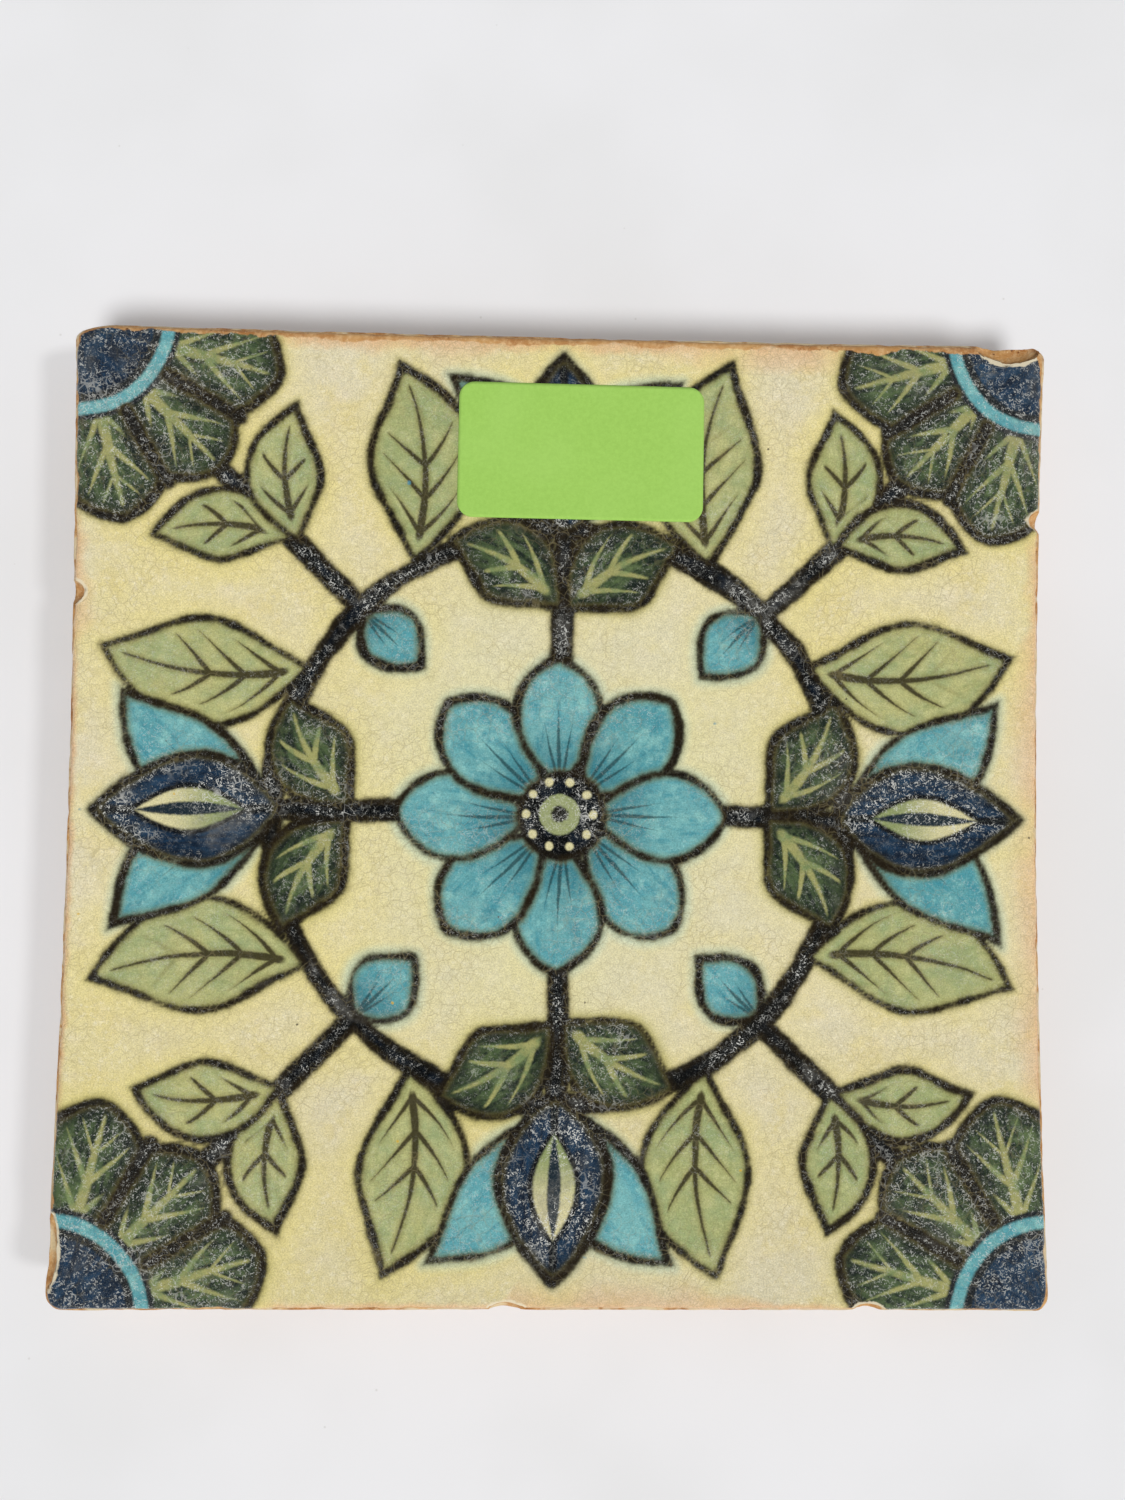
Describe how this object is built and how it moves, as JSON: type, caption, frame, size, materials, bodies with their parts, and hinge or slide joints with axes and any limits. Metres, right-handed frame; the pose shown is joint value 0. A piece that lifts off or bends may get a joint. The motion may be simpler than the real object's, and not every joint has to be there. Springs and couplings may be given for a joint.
{
  "type": "wall tile",
  "caption": "Square hand-pressed ceramic wall tile with a painted floral pattern under clear glaze, bare worn edges, a keyed back and a blank paper stock label.",
  "frame": {"origin": "centre of the back face, which lies on Z = 0", "axes": "+Z out of the painted face, +Y towards the tile's top edge, +X towards its right side"},
  "size_m": [0.1522, 0.1504, 0.0142],
  "materials": {
    "clay": "bare fired clay, sandy and matt",
    "slip": "dry white slip, matt",
    "outline_paint": "blue-black brushed outline under glaze",
    "turquoise_paint": "turquoise colour under glaze",
    "cobalt_paint": "deep blue colour under glaze",
    "sage_paint": "sage green colour under glaze",
    "dark_green_paint": "dark green colour under glaze",
    "clear_glaze": "thin clear glaze, crazed and lightly scuffed",
    "label_glue": "thin film of label adhesive",
    "label_paper": "uncoated bright green paper"
  },
  "bodies": {
    "root": {"clay_body": "clay", "slip_coat": "slip", "painted_outlines": "outline_paint", "bud_northeast": "turquoise_paint", "bud_northwest": "turquoise_paint", "bud_southeast": "turquoise_paint", "bud_southwest": "turquoise_paint", "corner_palmette_northeast": "dark_green_paint", "corner_palmette_northwest": "dark_green_paint", "corner_palmette_southeast": "dark_green_paint", "corner_palmette_southwest": "dark_green_paint", "inner_left_leaf_east": "dark_green_paint", "inner_left_leaf_north": "dark_green_paint", "inner_left_leaf_south": "dark_green_paint", "inner_left_leaf_west": "dark_green_paint", "inner_right_leaf_east": "dark_green_paint", "inner_right_leaf_north": "dark_green_paint", "inner_right_leaf_south": "dark_green_paint", "inner_right_leaf_west": "dark_green_paint", "outer_left_leaf_northeast": "sage_paint", "outer_left_leaf_northwest": "sage_paint", "outer_left_leaf_southeast": "sage_paint", "outer_left_leaf_southwest": "sage_paint", "outer_right_leaf_northeast": "sage_paint", "outer_right_leaf_northwest": "sage_paint", "outer_right_leaf_southeast": "sage_paint", "outer_right_leaf_southwest": "sage_paint", "rosette_petal_1": "turquoise_paint", "rosette_petal_2": "turquoise_paint", "rosette_petal_3": "turquoise_paint", "rosette_petal_4": "turquoise_paint", "rosette_petal_5": "turquoise_paint", "rosette_petal_6": "turquoise_paint", "rosette_petal_7": "turquoise_paint", "rosette_petal_8": "turquoise_paint", "small_left_leaf_northeast": "sage_paint", "small_left_leaf_northwest": "sage_paint", "small_left_leaf_southeast": "sage_paint", "small_left_leaf_southwest": "sage_paint", "small_right_leaf_northeast": "sage_paint", "small_right_leaf_northwest": "sage_paint", "small_right_leaf_southeast": "sage_paint", "small_right_leaf_southwest": "sage_paint", "tulip_heart_east": "cobalt_paint", "tulip_heart_north": "cobalt_paint", "tulip_heart_south": "cobalt_paint", "tulip_heart_west": "cobalt_paint", "tulip_left_petal_east": "turquoise_paint", "tulip_left_petal_north": "turquoise_paint", "tulip_left_petal_south": "turquoise_paint", "tulip_left_petal_west": "turquoise_paint", "tulip_right_petal_east": "turquoise_paint", "tulip_right_petal_north": "turquoise_paint", "tulip_right_petal_south": "turquoise_paint", "tulip_right_petal_west": "turquoise_paint", "clear_glaze": "clear_glaze", "label_glue": "label_glue", "label_paper": "label_paper"}
  },
  "joints": []
}
